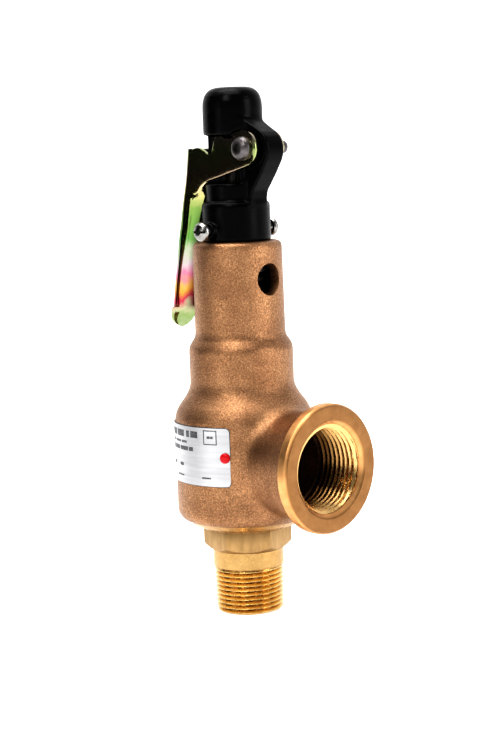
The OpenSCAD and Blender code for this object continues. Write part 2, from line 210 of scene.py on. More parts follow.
def turned_position(tree, vector, axis):
    """Distance from a turned piece's axis, the outlet's "X" or the valve's "Z", and along it."""
    parts = split(tree, vector)
    first, second, along = {"X": ("Y", "Z", "X"), "Z": ("X", "Y", "Z")}[axis]
    axis_height = OUTLET_Z * MM if axis == "X" else 0.0
    across = tree.nodes.new("ShaderNodeCombineXYZ")
    tree.links.new(parts[first], across.inputs[0])
    tree.links.new(calculate(tree, "SUBTRACT", parts[second], axis_height), across.inputs[1])
    return vector_length(tree, across.outputs[0]), parts[along]


def tint(tree, shader, tone, fac=None):
    """Multiply what already feeds the material's base colour by a tone."""
    mix = tree.nodes.new("ShaderNodeMix")
    mix.data_type = "RGBA"
    mix.blend_type = "MULTIPLY"
    mix.inputs["Factor"].default_value = 1.0
    if fac is not None:
        tree.links.new(fac, mix.inputs["Factor"])
    tree.links.new(shader.inputs["Base Color"].links[0].from_socket, mix.inputs[6])
    tree.links.new(tone, mix.inputs[7])
    tree.links.new(mix.outputs[2], shader.inputs["Base Color"])


def cast_bronze():
    """Sand-cast bronze: wide stains, a fine bright and dark grain, and a rough skin."""
    mat, tree, shader = new_material("cast_bronze", 1.0)
    vector = object_coords(tree)
    grain = noise(tree, vector, 0.55, 3, 0.7)
    color_by(tree, shader, noise(tree, vector, 12, 4), [
        (0.30, (0.245, 0.133, 0.072)), (0.52, (0.307, 0.171, 0.092)),
        (0.72, (0.360, 0.206, 0.113)),
    ])
    tint(tree, shader, ramp(tree, grain, [
        (0.32, (0.58, 0.54, 0.52)), (0.52, (1.0, 1.0, 1.0)), (0.70, (1.70, 1.66, 1.56)),
    ]))
    vary_roughness(tree, shader, grain, 0.53, 0.30, 0.35, 0.7)
    add_bump(tree, shader, noise(tree, vector, 0.7, 3, 0.7), 0.18)
    add_bump(tree, shader, noise(tree, vector, 4.0, 3), 0.20, 0.45)
    return mat


def machined(name, low, high, roughness, axis, mark_mm=0.28):
    """Turned metal with fine rings about an axis ("X" or "Z") and faint blotches."""
    mat, tree, shader = new_material(name, 1.0)
    vector = object_coords(tree)
    color_by(tree, shader, noise(tree, vector, 5, 3), [(0.3, low), (0.7, high)])
    radius, along = turned_position(tree, vector, axis)
    marks = add_node(tree, "ShaderNodeTexNoise", Scale=1000.0 / mark_mm, Detail=2.0)
    marks.noise_dimensions = "1D"
    tree.links.new(calculate(tree, "ADD", radius, along), marks.inputs["W"])
    add_bump(tree, shader, marks.outputs["Fac"], 0.02, 0.6)
    vary_roughness(tree, shader, noise(tree, vector, 1.2, 4), roughness - 0.06, roughness + 0.10)
    return mat, tree, shader


def base_bronze():
    """Turned bronze of the body's foot and spigot, and of the plain pieces inside."""
    return machined("base_bronze", (0.40, 0.235, 0.095), (0.48, 0.30, 0.13), 0.30, "Z")[0]


def thread_brass():
    """Clean turned brass with painted shade that darkens it towards the bottom of the inlet
    thread's grooves.
    """
    mat, tree, shader = machined("thread_brass", (0.68, 0.48, 0.20), (0.78, 0.58, 0.27), 0.22,
                                 "Z", 0.9)
    radius, height = turned_position(tree, object_coords(tree), "Z")
    level = calculate(tree, "MULTIPLY_ADD", height, -INLET_TAPER, radius)
    root_r = (INLET_CREST_R - INLET_DEPTH) * MM
    depth = value_range(tree, level, 0.0, 1.0, root_r, INLET_CREST_R * MM)
    # Painted shade: darker towards the roots of the thread's grooves.
    tint(tree, shader, ramp(tree, depth, [(0.05, (0.66, 0.52, 0.38)), (0.75, (1, 1, 1))]))
    return mat


def bore_bronze():
    """Turned bronze of the outlet thread, with painted shade that darkens it the deeper it lies
    in the bore.
    """
    mat, tree, shader = machined("bore_bronze", (0.62, 0.40, 0.17), (0.72, 0.48, 0.22), 0.22,
                                 "X", 0.9)
    outward = value_range(tree, split(tree, object_coords(tree))["X"], 0.0, 1.0, 0.030, 0.044)
    # Painted shade: the thread grows darker the deeper it lies in the bore.
    tint(tree, shader, ramp(tree, outward, [
        (0.0, (0.13, 0.10, 0.08)), (0.35, (0.60, 0.55, 0.50)), (0.8, (1, 1, 1)),
    ]))
    return mat


def ring_bronze():
    """Turned outlet ring, its rim and countersink brighter than its face: a painted highlight."""
    mat, tree, shader = machined("ring_bronze", (0.225, 0.115, 0.046), (0.29, 0.155, 0.065),
                                 0.38, "X")
    outward = value_range(tree, split(tree, object_coords(tree))["X"], 0.0, 1.0, 0.0457, 0.0464)
    # Painted highlight on the ring's outer rim and countersink.
    tint(tree, shader, ramp(tree, outward, [(0.0, (2.3, 2.4, 2.5)), (1.0, (1, 1, 1))]))
    return mat


def pitted_brass():
    """Machined brass with small dark pits in patches, as on the nozzle's collar."""
    mat, tree, shader = machined("pitted_brass", (0.38, 0.24, 0.098), (0.46, 0.30, 0.13), 0.29,
                                 "Z")
    vector = object_coords(tree)
    pits = add_node(tree, "ShaderNodeTexVoronoi", Scale=420)
    tree.links.new(vector, pits.inputs["Vector"])
    patch = value_range(tree, noise(tree, vector, 7, 2), 0.0, 1.0, 0.55, 0.62)
    dot = value_range(tree, pits.outputs["Distance"], 1.0, 0.0, 0.06, 0.20)
    mix = tree.nodes.new("ShaderNodeMix")
    mix.data_type = "RGBA"
    tree.links.new(calculate(tree, "MULTIPLY", patch, dot), mix.inputs["Factor"])
    tree.links.new(shader.inputs["Base Color"].links[0].from_socket, mix.inputs[6])
    mix.inputs[7].default_value = (0.30, 0.17, 0.07, 1)
    tree.links.new(mix.outputs[2], shader.inputs["Base Color"])
    return mat


def black_paint():
    """Black enamel, almost without sheen, over a slightly uneven casting."""
    mat, tree, shader = new_material("black_paint", 0.0)
    shader.inputs["Base Color"].default_value = (0.0008, 0.0008, 0.0009, 1)
    vector = object_coords(tree)
    vary_roughness(tree, shader, noise(tree, vector, 3, 3), 0.24, 0.36)
    shader.inputs["Specular IOR Level"].default_value = 0.08
    add_bump(tree, shader, noise(tree, vector, 1.1, 3), 0.05, 0.35)
    add_bump(tree, shader, noise(tree, vector, 6, 2), 0.15, 0.3)
    return mat


def yellow_chromate():
    """Zinc plate with a chromate film whose colour drifts with height along the lever.

    Below the ears its far half, towards +Y, carries painted shade that makes it darker and
    redder.
    """
    mat, tree, shader = new_material("yellow_chromate", 1.0)
    vector = object_coords(tree)
    parts = split(tree, vector)
    height = value_range(tree, parts["Z"], 0.0, 1.0, 0.110, 0.190)
    wander = value_range(tree, noise(tree, vector, 16, 3), -0.07, 0.07, 0.3, 0.7)
    color_by(tree, shader, calculate(tree, "ADD", height, wander), [
        (0.00, (0.32, 0.34, 0.24)), (0.04, (0.19, 0.26, 0.10)), (0.08, (0.36, 0.35, 0.22)),
        (0.12, (0.35, 0.03, 0.07)), (0.18, (0.50, 0.25, 0.05)), (0.23, (0.50, 0.29, 0.09)),
        (0.28, (0.48, 0.16, 0.24)), (0.33, (0.40, 0.34, 0.35)), (0.38, (0.32, 0.36, 0.25)),
        (0.46, (0.12, 0.27, 0.07)), (0.57, (0.17, 0.26, 0.07)), (0.64, (0.42, 0.39, 0.17)),
        (0.76, (0.40, 0.30, 0.22)), (0.84, (0.30, 0.36, 0.15)), (0.94, (0.44, 0.36, 0.30)),
    ])
    above = value_range(tree, parts["Z"], 0.0, 1.0, 0.1165, 0.119)
    below = value_range(tree, parts["Z"], 1.0, 0.0, 0.148, 0.162)
    far_half_shade = value_range(tree, parts["Y"], 0.0, 1.0, -0.001, 0.004)
    # Painted shade on the far half of the web, below the ears.
    tint(tree, shader, ramp(tree, far_half_shade, [(0.0, (1, 1, 1)), (1.0, (0.16, 0.07, 0.08))]),
         calculate(tree, "MULTIPLY", above, below))
    vary_roughness(tree, shader, noise(tree, vector, 1.5, 4), 0.05, 0.11)
    add_bump(tree, shader, noise(tree, vector, 2.5, 2), 0.02, 0.25)
    return mat


def worn_metal(name, color, roughness, stretch=(1, 1, 1), worn=0.72):
    """Plain metal with duller patches, drawn out to streaks where stretch is below 1."""
    mat, tree, shader = new_material(name, 1.0)
    vector = object_coords(tree, stretch)
    wear = noise(tree, vector, 2.2, 4)
    color_by(tree, shader, wear, [(0.35, tuple(c * worn for c in color)), (0.62, color)])
    vary_roughness(tree, shader, wear, roughness + 0.10, roughness - 0.04)
    add_bump(tree, shader, noise(tree, vector, 0.5, 2), 0.015, 0.5)
    return mat


def red_lacquer():
    mat, tree, shader = new_material("red_lacquer", 0.0, 0.30)
    vector = object_coords(tree)
    color_by(tree, shader, noise(tree, vector, 1.5, 3), [
        (0.3, (0.40, 0.003, 0.007)), (0.7, (0.56, 0.006, 0.012)),
    ])
    shader.inputs["Specular IOR Level"].default_value = 0.25
    add_bump(tree, shader, noise(tree, vector, 0.8, 2), 0.02, 0.4)
    return mat


# Dark ink for the plate's print, also used for the painted shadow round the nameplate.
def plate_ink_and_shadow():
    mat, tree, shader = new_material("plate_ink_and_shadow", 0.1, 0.5)
    color_by(tree, shader, noise(tree, object_coords(tree), 0.6, 3), [
        (0.35, (0.03, 0.03, 0.035)), (0.7, (0.12, 0.12, 0.125)),
    ])
    return mat


# ---------------------------------------------------------------- mesh helpers

def mesh_piece(name, verts, faces, material, body="valve", replaces=(), slot=None):
    """Object from points in millimetres, riding on a body."""
    mesh = bpy.data.meshes.new(name)
    mesh.from_pydata([tuple(v) for v in np.asarray(verts, float) * MM], [],
                     [tuple(int(i) for i in f) for f in faces])
    mesh.validate()
    obj = bpy.data.objects.new(name, mesh)
    bpy.context.scene.collection.objects.link(obj)
    tidy_normals(obj)
    obj.data.materials.append(material)
    shade(obj)
    if body:
        settle(obj, body, replaces, slot)
    return obj


def settle(obj, body, replaces, slot):
    """Says which body a piece rides on and what it replaces. Its slot is not used."""
    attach(obj, body)
    if replaces:
        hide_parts(*replaces)


def tidy_normals(obj):
    """Joins doubled points and turns all faces outwards."""
    bm = bmesh.new()
    bm.from_mesh(obj.data)
    bmesh.ops.remove_doubles(bm, verts=bm.verts, dist=1e-7)
    bmesh.ops.recalc_face_normals(bm, faces=bm.faces)
    bm.to_mesh(obj.data)
    bm.free()


def shade(obj, angle=SMOOTH_ANGLE):
    obj.data.shade_smooth()
    obj.data.set_sharp_from_angle(angle=angle)


def apply_modifiers(obj):
    bpy.context.view_layer.update()
    graph = bpy.context.evaluated_depsgraph_get()
    mesh = bpy.data.meshes.new_from_object(obj.evaluated_get(graph), depsgraph=graph)
    old = obj.data
    obj.modifiers.clear()
    obj.data = mesh
    bpy.data.meshes.remove(old)


def combine(obj, tool, operation="DIFFERENCE"):
    """Boolean of obj with a tool object, which is then removed."""
    modifier = obj.modifiers.new("combine", "BOOLEAN")
    modifier.operation = operation
    modifier.solver = "MANIFOLD"
    modifier.object = tool
    apply_modifiers(obj)
    mesh = tool.data
    bpy.data.objects.remove(tool)
    bpy.data.meshes.remove(mesh)
    shade(obj)


def bevel(obj, width_mm, angle):
    """Rounds the edges that are sharper than an angle in degrees."""
    modifier = obj.modifiers.new("bevel", "BEVEL")
    modifier.width = width_mm * MM
    modifier.segments = 2
    modifier.limit_method = "ANGLE"
    modifier.angle_limit = math.radians(angle)
    apply_modifiers(obj)
    shade(obj, BEVEL_SMOOTH_ANGLE)


def rounded(points, radius, closed=False, steps=4):
    """Profile with each corner replaced by a small arc. A point may carry its own radius."""
    pts = [np.array(p[:2], float) for p in points]
    radii = [p[2] if len(p) > 2 else radius for p in points]
    n = len(pts)
    out = []
    for i, p in enumerate(pts):
        if not closed and i in (0, n - 1):
            out.append(p)
            continue
        a, b = pts[i - 1] - p, pts[(i + 1) % n] - p
        la, lb = np.linalg.norm(a), np.linalg.norm(b)
        a, b = a / la, b / lb
        half = math.acos(np.clip(np.dot(a, b), -1, 1)) / 2
        if radii[i] < TINY or half > NEARLY_STRAIGHT:
            out.append(p)
            continue
        reach = min(radii[i] / math.tan(half), CORNER_SHARE * la, CORNER_SHARE * lb)
        start, end = p + a * reach, p + b * reach
        for k in range(steps + 1):
            t = k / steps
            out.append((1 - t) ** 2 * start + 2 * t * (1 - t) * p + t ** 2 * end)
    return out


def lathe(name, points, material, axis="Z", origin=(0, 0, 0), steps=96, fillet=0.2, **where):
    """Turned piece from a [radius, height] outline that starts and ends on the axis."""
    verts, faces, rings = [], [], []
    for r, h in rounded(points, fillet):
        if r < TINY:
            rings.append([len(verts)])
            verts.append((0, 0, h))
            continue
        rings.append(list(range(len(verts), len(verts) + steps)))
        for k in range(steps):
            a = TAU * k / steps
            verts.append((r * math.cos(a), r * math.sin(a), h))
    for lower, upper in zip(rings, rings[1:]):
        for k in range(steps):
            j = (k + 1) % steps
            if len(lower) == 1:
                faces.append((lower[0], upper[j], upper[k]))
            elif len(upper) == 1:
                faces.append((lower[k], lower[j], upper[0]))
            else:
                faces.append((lower[k], lower[j], upper[j], upper[k]))
    return mesh_piece(name, placed(verts, axis, origin), faces, material, **where)


def placed(verts, axis, origin):
    """Turns points made about +Z so that they lie about another axis, then moves them."""
    v = np.asarray(verts, float)
    turned = {
        "Z": v,
        "X": v[:, [2, 0, 1]],
        "Y": v[:, [1, 2, 0]],
        "-Y": v[:, [0, 2, 1]] * [1, -1, 1],
    }[axis]
    return turned + np.array(origin, float)


def tube_loop(name, rows, material, axis="Z", origin=(0, 0, 0), **where):
    """Ring-shaped piece from closed rows of (radii over the angle, heights over the angle)."""
    steps = len(rows[0][0])
    angles = TAU * np.arange(steps) / steps
    verts = np.concatenate([
        np.stack([r * np.cos(angles), r * np.sin(angles), h * np.ones(steps)], 1)
        for r, h in rows
    ])
    count = len(rows)
    faces = []
    for i in range(count):
        j = (i + 1) % count
        for k in range(steps):
            m = (k + 1) % steps
            faces.append((i * steps + k, i * steps + m, j * steps + m, j * steps + k))
    return mesh_piece(name, placed(verts, axis, origin), faces, material, **where)


def level_rows(outline, steps):
    """Rows for tube_loop from a closed [radius, height] outline."""
    return [(np.full(steps, r), np.full(steps, h)) for r, h in outline]


def drill(name, radius, low, high, material, axis="Y", origin=(0, 0, 0)):
    """Round cutter from low to high along an axis."""
    outline = [(0, low), (radius, low), (radius, high), (0, high)]
    return lathe(name, outline, material, axis=axis, origin=origin, body=None, fillet=0)


def extruded(name, outline, low, high, material, axis="Z", origin=(0, 0, 0), **where):
    """Prism over a closed outline."""
    n = len(outline)
    verts = [(x, y, low) for x, y in outline] + [(x, y, high) for x, y in outline]
    faces = [list(range(n))[::-1], list(range(n, 2 * n))]
    faces += [(i, (i + 1) % n, n + (i + 1) % n, n + i) for i in range(n)]
    return mesh_piece(name, placed(verts, axis, origin), faces, material, **where)


def hexagon(across_flats, turn):
    r = across_flats / math.sqrt(3)
    return [(r * math.cos(turn + TAU * k / 6), r * math.sin(turn + TAU * k / 6))
            for k in range(6)]


# ---------------------------------------------------------------- castings from fields

def outline_distance(points, r, h):
    """Signed distance from each (r, h) to a closed outline, negative inside."""
    pts = np.asarray(points, float)
    best = np.full(r.shape, 1e9)
    inside = np.zeros(r.shape, bool)
    for a, b in zip(pts, np.roll(pts, -1, 0)):
        d = b - a
        t = np.clip(((r - a[0]) * d[0] + (h - a[1]) * d[1]) / max(d @ d, 1e-12), 0, 1)
        best = np.minimum(best, (r - a[0] - t * d[0]) ** 2 + (h - a[1] - t * d[1]) ** 2)
        crosses = (a[1] > h) != (b[1] > h)
        if a[1] != b[1]:
            inside ^= crosses & (r < a[0] + (h - a[1]) * d[0] / d[1])
    return np.where(inside, -1, 1) * np.sqrt(best)


def revolved_field(points, radius, height):
    """Distance to a turned solid. radius is a 2-D slice, height a 1-D row of levels."""
    table_r = np.arange(0, radius.max() + 0.3, 0.2)
    mirrored = [(-r, h) for r, h in reversed(points)] + list(points)
    grid_r, grid_h = np.meshgrid(table_r, height, indexing="ij")
    table = outline_distance(mirrored, grid_r, grid_h)
    return np.stack([np.interp(radius, table_r, table[:, k]) for k in range(len(height))], -1)


def smooth_min(a, b, k):
    h = np.clip(0.5 + 0.5 * (b - a) / k, 0, 1)
    return b + (a - b) * h - k * h * (1 - h)


def blur(field, passes):
    """Rounds the edges of a field by averaging each sample with its neighbours."""
    for _ in range(passes):
        for axis in range(3):
            a = np.swapaxes(field, 0, axis)
            mid = (a[:-2] + 2 * a[1:-1] + a[2:]) / 4
            a = np.concatenate([a[:1], mid, a[-1:]])
            field = np.swapaxes(a, 0, axis)
    return field


def sample_axes(low, size, cell):
    """Sample positions along x, y and z through a box."""
    count = (np.array(size) / cell).astype(int)
    return [low[i] + cell * np.arange(count[i]) for i in range(3)]


def field_mesh(field, low, cell):
    """Quads on the zero level of a sampled field."""
    grid = openvdb.FloatGrid(3.0)
    grid.copyFromArray(np.clip(field, -3, 3).astype(np.float32))
    points, quads = grid.convertToQuads(0.0)
    return points * cell + np.array(low), quads


# ---------------------------------------------------------------- body

# Outlines of turned shapes are (radius, position along the axis)
BODY_OUTLINE = [
    (0, 37.2), (24.6, 37.2), (26.0, 38.6), (26.8, 40.2), (BARREL_R, 41.6), (BARREL_R, 74.6),
    (26.8, 77.4), (26.1, 79.8), (24.9, 82), (23.3, 84.1), (21.8, 86.3), (20.8, 88.3),
    (20.3, 90.6), (20.3, 103.6), (20.0, 105.0), (19.0, 106.7), (17.9, 108.3),
    (17.6, 110), (17.3, 143.2), (17.0, 144.3), (16.2, 145.1), (14.8, BODY_TOP_Z),
    (0, BODY_TOP_Z),
]
NECK_OUTLINE = [
    (0, 4), (20.0, 4), (20.3, 22), (20.9, 31), (22.1, 38), (23.2, 41.6), (23.2, 43.2), (0, 43.2),
]


def body_casting(material):
    """Barrel, waist, spring housing and outlet neck as one casting, then hollowed."""
    cell = 0.5
    low = (-29.0, -29.0, 35.0)
    xs, ys, zs = sample_axes(low, (74.0, 58.0, 112.0), cell)
    gx, gy = np.meshgrid(xs, ys, indexing="ij")
    barrel = revolved_field(BODY_OUTLINE, np.hypot(gx, gy), zs)
    ny, nz = np.meshgrid(ys, zs, indexing="ij")
    neck = np.moveaxis(revolved_field(NECK_OUTLINE, np.hypot(ny, nz - OUTLET_Z), xs), 2, 0)
    solid = blur(smooth_min(barrel, neck, 4.2), 2)
    verts, quads = field_mesh(solid, low, cell)
    casting = mesh_piece("body_casting", verts, quads, material, body=None)
    for tool in casting_tools(material):
        combine(casting, tool)
    settle(casting, "valve", ("body",), "cast_bronze")


def casting_tools(material):
    """Cutters for the chamber, the spring bore, the outlet and the vent."""
    plain = dict(material=material, body=None, fillet=0)
    yield lathe("cut_chamber", [
        (0, 30), (14.2, 30), (14.2, 43), (20, 43), (22, 45), (22, 74), (13.9, 82),
        (13.9, 89), (13.2, 89), (13.2, 139), (8, 139), (8, 150), (0, 150),
    ], **plain)
    yield lathe("cut_outlet", [(0, 12), (14.6, 12), (14.6, 26), (19.4, 26), (19.4, 50), (0, 50)],
                axis="X", origin=(0, 0, OUTLET_Z), **plain)
    yield lathe("cut_vent", [
        (0, 10), (VENT_R, 10), (VENT_R, 16.2), (VENT_R + 0.5, 17.4), (VENT_R + 0.5, 22), (0, 22),
    ], axis="X", origin=(0, 0, VENT_Z), **plain)


def thread_depth(phase):
    """Depth below the crest, 0 to 1, of a truncated V thread at a phase of 0 to 1."""
    crest_flat, root_flat = 0.10, 0.06
    away = np.abs(phase - 0.5) * 2
    return np.clip((away - crest_flat) / (1 - crest_flat - root_flat), 0, 1)


THREAD_SLEEVE_R = 18.2
THREAD_SLEEVE_END_X = 27.0
THREAD_MOUTH_R = 17.0
THREAD_END_CREST_R = 15.3


def outlet_ring(material):
    """Machined ring round the outlet, with its countersink."""
    outline = rounded([
        (19.3, THREAD_SLEEVE_END_X), (19.3, 40.9), (22.8, 40.9), (RING_R, 42.2),
        (RING_R, 45.3, 0.3), (23.8, OUTLET_X, 0.3), (MOUTH_R, OUTLET_X, 0.25),
        (THREAD_MOUTH_R, 44.9, 0.1), (THREAD_MOUTH_R, 44.6), (THREAD_SLEEVE_R, 44.6),
        (THREAD_SLEEVE_R, THREAD_SLEEVE_END_X),
    ], 0.3, closed=True)
    tube_loop("outlet_ring", level_rows(outline, 160), material, axis="X",
              origin=(0, 0, OUTLET_Z), replaces=("body",), slot="cast_bronze")


def outlet_thread(material):
    """Sleeve inside the ring that carries the female taper thread."""
    steps = 160
    start_x = 44.7
    turn = np.arange(steps) / steps
    rows = level_rows([(THREAD_SLEEVE_R, start_x)], steps)
    for x in np.arange(start_x, 26.9, -OUTLET_PITCH / THREAD_STEPS_PER_TURN):
        crest_r = THREAD_END_CREST_R + (x - THREAD_SLEEVE_END_X) * OUTLET_TAPER
        radius = crest_r + OUTLET_DEPTH * thread_depth((x / OUTLET_PITCH + turn) % 1.0)
        rows.append((np.minimum(radius, THREAD_MOUTH_R), np.full(steps, x)))
    rows.append((np.full(steps, THREAD_SLEEVE_R), rows[-1][1]))
    tube_loop("outlet_thread", rows, material, axis="X", origin=(0, 0, OUTLET_Z),
              replaces=("body",), slot="cast_bronze")


def base_ring(material):
    """Machined face and chamfer at the bottom of the barrel."""
    outline = rounded([
        (14.2, BODY_BASE_Z), (17.6, BODY_BASE_Z), (21.3, 35.2, 0.8), (24.9, 38.3, 0.4),
        (24.9, 39.6), (14.2, 39.6),
    ], 0.2, closed=True)
    tube_loop("base_ring", level_rows(outline, 128), material, replaces=("body",),
              slot="cast_bronze")


def spigot(material):
    """Short neck on top of the body that carries the cap."""
    outline = rounded([(8.0, 144.9), (11.3, 144.9), (11.3, 151.0), (8.0, 151.0)], 0.3,
                      closed=True)
    tube_loop("body_spigot", level_rows(outline, 96), material, replaces=("body",),
              slot="cast_bronze")


# ---------------------------------------------------------------- nozzle

INLET_SLEEVE_R = 11.5
INLET_END_Z = 17.61
INLET_STEPS = 144
HEX_ACROSS_FLATS = 30.0
HEX_TURN = math.radians(-14)


def inlet_thread(material):
    """Sleeve with the male taper thread, chamfered at its foot and fading out at its top."""
    runout_z, runout = 18.4, 1.6
    foot_chamfer, foot_slope = 0.25, 1.2
    turn = np.arange(INLET_STEPS) / INLET_STEPS
    rows = level_rows([(INLET_SLEEVE_R, 0.0)], INLET_STEPS)
    for z in np.arange(0.0, INLET_END_Z, INLET_PITCH / THREAD_STEPS_PER_TURN):
        crest_r = INLET_CREST_R + z * INLET_TAPER
        fade = min(1.0, max(0.0, (runout_z - z) / runout))
        radius = crest_r - INLET_DEPTH * fade * thread_depth((z / INLET_PITCH - turn) % 1.0)
        foot_r = crest_r - INLET_DEPTH + foot_chamfer + z * foot_slope
        rows.append((np.minimum(radius, foot_r), np.full(INLET_STEPS, z)))
    rows.append((np.full(INLET_STEPS, INLET_SLEEVE_R), rows[-1][1]))
    tube_loop("inlet_thread", rows, material, replaces=("nozzle",), slot="turned_brass")


def nozzle(material):
    """Collar, shank, seat and bore in one piece."""
    outline = rounded([
        (INLET_SLEEVE_R, 0.0, 0), (INLET_SLEEVE_R, 17.5, 0), (13.3, 17.5), (13.9, 18.0, 0.15),
        (14.0, 18.5, 0.15), (14.0, 24.0), (14.0, 26.0), (14.0, 42.6), (10.5, 42.6),
        (10.5, 51.2), (8.2, 53.0), (8.2, 54.0), (6.35, 54.0), (6.35, 38.0), (9.6, 22.0),
        (9.6, 1.2), (10.6, 0.0),
    ], 0.25, closed=True)
    tube_loop("nozzle", level_rows(outline, INLET_STEPS), material, replaces=("nozzle",),
              slot="turned_brass")


def nozzle_hexagon(material):
    """Hexagon round the nozzle, with its corners turned off below."""
    piece = extruded("nozzle_hexagon", hexagon(HEX_ACROSS_FLATS, HEX_TURN), 24.65, 33.55,
                     material, body=None)
    cone = lathe("cut_cone", [(0, 24.6), (14.1, 24.6), (17.25, 26.9), (17.45, 33.4), (0, 33.6)],
                 material, body=None, fillet=0)
    combine(piece, cone, "INTERSECT")
    combine(piece, drill("cut_bore", 13.6, 20, 40, material, axis="Z"))
    bevel(piece, 0.18, 20)
    settle(piece, "valve", ("nozzle",), "turned_brass")


# ---------------------------------------------------------------- cap

CAP_OUTLINE = [
    (0, BODY_TOP_Z), (13.2, BODY_TOP_Z), (13.2, 159.0), (12.8, 160.1), (11.3, 160.9),
    (11.3, 168.2), (10.2, 168.2), (10.2, 186.0), (11.5, 186.0), (11.5, 196.4),
    (11.35, 198.6), (10.75, 200.7), (9.6, 202.4), (8.0, 203.5), (5.8, 204.0), (0, 204.0),
]
CAP_HOLLOW = [
    (0, 140), (11.4, 140), (11.4, 158), (8.6, 158), (8.6, 167.5), (8.2, 167.5),
    (8.2, 186), (10.1, 186), (10.1, 199.6), (8.2, 201), (0, 201),
]
# The lug's side view, (x, z)
LUG_OUTLINE = [
    (6, 159.8), (12.7, 159.8), (13.1, 161.6), (13.8, 164.4), (18.6, 170.8), (21.9, 176.0),
    (22.7, 178.2), (22.8, 180.4), (22.3, 182.8), (21.2, 184.9), (19.4, 186.5), (11.4, 191.2),
    (6, 192.2),
]
LUG_HALF_W = 4.5
POST_HALF_W = 5.5
WINDOW_MID_Z = 176.75
WINDOW_HALF_H = 9.25
WINDOW_REACH = 11.9
EAR_ROOM_R = 7.6
PAD_R = 3.1
PAD_REACH = 15.4


def cap_field(xs, ys, zs):
    """Cap with its lug and screw pads, less the windows, the room for the ears and the hollow."""
    gx, gy, gz = np.meshgrid(xs, ys, zs, indexing="ij")
    slice_r = np.hypot(gx[:, :, 0], gy[:, :, 0])
    solid = revolved_field(CAP_OUTLINE, slice_r, zs)
    side = outline_distance(LUG_OUTLINE, gx[:, 0, :], gz[:, 0, :])[:, None, :]
    inward = np.clip((16.5 - gx) / 6.5, 0, 1)
    flare = LUG_HALF_W + inward ** 2 * 0.9 * np.clip((gz - 181) / 6, 0, 1)
    solid = smooth_min(solid, np.maximum(side, np.abs(gy) - flare), 1.8)
    pad = np.maximum(np.hypot(gx, gz - CAP_SCREW_Z) - PAD_R, np.abs(gy) - PAD_REACH)
    solid = smooth_min(solid, pad, 1.0)
    beside = POST_HALF_W - np.abs(gy)
    window = np.maximum(np.abs(gz - WINDOW_MID_Z) - WINDOW_HALF_H, beside)
    window = np.maximum(window, np.hypot(gx, gy) - WINDOW_REACH)
    ear_room = np.maximum(np.hypot(gx - PIVOT_X, gz - PIVOT_Z) - EAR_ROOM_R, beside)
    for opening in (window, ear_room, revolved_field(CAP_HOLLOW, slice_r, zs)):
        solid = np.maximum(solid, -opening)
    return np.maximum(blur(solid, 3), BODY_TOP_Z - gz)


def cap(material):
    cell = 0.32
    low = (-15.0, -18.0, 143.5)
    field = cap_field(*sample_axes(low, (39.0, 36.0, 62.5), cell))
    verts, quads = field_mesh(field, low, cell)
    piece = mesh_piece("cap", verts, quads, material, body=None)
    combine(piece, drill("cut_pin", 3.65, -7, 7, material, origin=PIVOT_POINT))
    combine(piece, drill("cut_screw", 2.0, -20, 20, material, origin=(0, 0, CAP_SCREW_Z)))
    settle(piece, "valve", ("cap",), "black_paint")


# ---------------------------------------------------------------- lever

def spline(points, spacing):
    """Smooth open path through points, sampled at about the given spacing."""
    pts = np.array(points, float)
    ext = np.vstack([2 * pts[0] - pts[1], pts, 2 * pts[-1] - pts[-2]])
    out = []
    for i in range(1, len(ext) - 2):
        p0, p1, p2, p3 = ext[i - 1:i + 3]
        n = max(1, int(np.linalg.norm(p2 - p1) / spacing))
        for k in range(n):
            t = k / n
            out.append(0.5 * (2 * p1 + (p2 - p0) * t + (2 * p0 - 5 * p1 + 4 * p2 - p3) * t ** 2
                              + (3 * p1 - p0 - 3 * p2 + p3) * t ** 3))
    out.append(pts[-1])
    return np.array(out)


def arc(cx, cz, r, start, end, n):
    """Points on a circle between two angles in degrees."""
    angles = [math.radians(start + (end - start) * i / n) for i in range(n + 1)]
    return [(cx + r * math.cos(a), cz + r * math.sin(a)) for a in angles]


# Outer face of the handle's web in side view, (x, z), from its top to its tip
WEB_PATH = [
    (-19.2, 181.2), (-19.3, 180.0), (-20.0, 175.2), (-21.1, 168.9), (-22.6, 162.8),
    (-23.6, 160.0), (-27.0, 149.0), (-29.3, 137.0), (-31.0, 128.5), (-32.1, 121.5),
    (-32.6, 118.0), (-33.3, 115.6), (-35.0, 111.0),
]
FLANGE_END_Z = 119.6
BEND_Z = (152.0, 163.0)
BEND_R = (4.0, 2.0)
FLAT_Z = 117.0
TONGUE_HALF_W = 6.0
TONGUE_TIP_FLAT = 0.3


def handle_rows():
    """Stations along the web: outer point, inward normal, bend share and half width."""
    path = spline(WEB_PATH, 0.8)
    tangent = np.gradient(path, axis=0)
    tangent /= np.linalg.norm(tangent, axis=1)[:, None]
    normal = np.stack([-tangent[:, 1], tangent[:, 0]], 1)
    tip_z = path[-1, 1]
    rows = []
    for point, inward in zip(path, normal):
        bent = min(1.0, max(0.0, (point[1] - FLAT_Z) / (FLANGE_END_Z - FLAT_Z)))
        reach = point[1] - tip_z
        full = TONGUE_HALF_W + (LEVER_HALF_W - TONGUE_HALF_W) * bent
        short = max(TONGUE_HALF_W - reach, 0.0)
        width = full - TONGUE_HALF_W + TONGUE_TIP_FLAT + math.sqrt(
            max((TONGUE_HALF_W - TONGUE_TIP_FLAT) ** 2 - short ** 2, 0.0))
        rows.append((point, inward, bent, width))
    return rows


